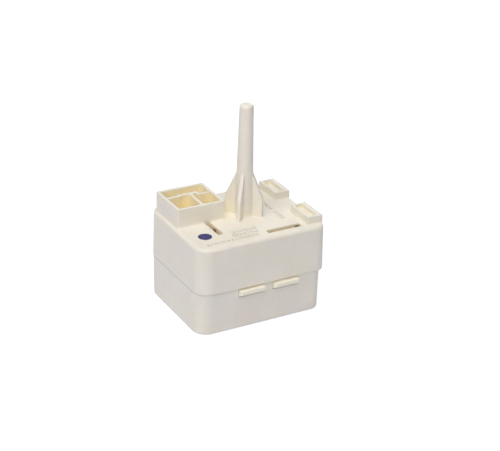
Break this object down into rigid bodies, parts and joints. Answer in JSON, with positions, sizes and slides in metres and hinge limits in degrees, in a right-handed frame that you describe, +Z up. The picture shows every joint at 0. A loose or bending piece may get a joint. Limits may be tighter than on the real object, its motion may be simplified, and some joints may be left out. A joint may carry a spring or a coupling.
{
  "type": "compressor start relay",
  "caption": "Compressor start relay with a snap-together moulded case, a three-way connector shroud, a tall ribbed locating pin and pin sockets underneath.",
  "frame": {"origin": "centre of the flat base, on the floor plane", "axes": "+Z up along the locating pin, +X to the right across the front (the side with the two pictured snap noses), +Y to the back"},
  "size_m": [0.048, 0.0426, 0.0711],
  "materials": {
    "housing_plastic": "satin, warm off-white",
    "tray_plastic": "satin, warm off-white",
    "brass": "stamped, bright",
    "spring_steel": "rolled strip",
    "ptc_ceramic": "sintered ceramic with metallised faces",
    "phenolic": "moulded, dark",
    "bimetal": "rolled strip, warm grey",
    "heater_alloy": "ribbon, dull",
    "silver": "contact silver"
  },
  "bodies": {
    "root": {"upper_housing": "housing_plastic", "base_tray": "tray_plastic", "neutral_strap": "brass", "start_strap": "brass", "line_strap": "brass", "common_strap": "brass", "run_socket": "brass", "start_socket": "brass", "common_socket": "brass", "run_sleeve_spring": "spring_steel", "start_sleeve_spring": "spring_steel", "common_sleeve_spring": "spring_steel", "socket_rivets": "brass", "ptc_pill": "ptc_ceramic", "run_contact_spring": "spring_steel", "start_contact_spring": "spring_steel", "overload_case": "phenolic", "overload_cover": "phenolic", "overload_line_terminal": "brass", "overload_common_terminal": "brass", "overload_heater": "heater_alloy", "overload_stud": "spring_steel", "overload_disc_clip": "spring_steel", "bimetal_disc": "bimetal", "moving_contacts": "silver", "fixed_contacts": "silver"}
  },
  "joints": []
}
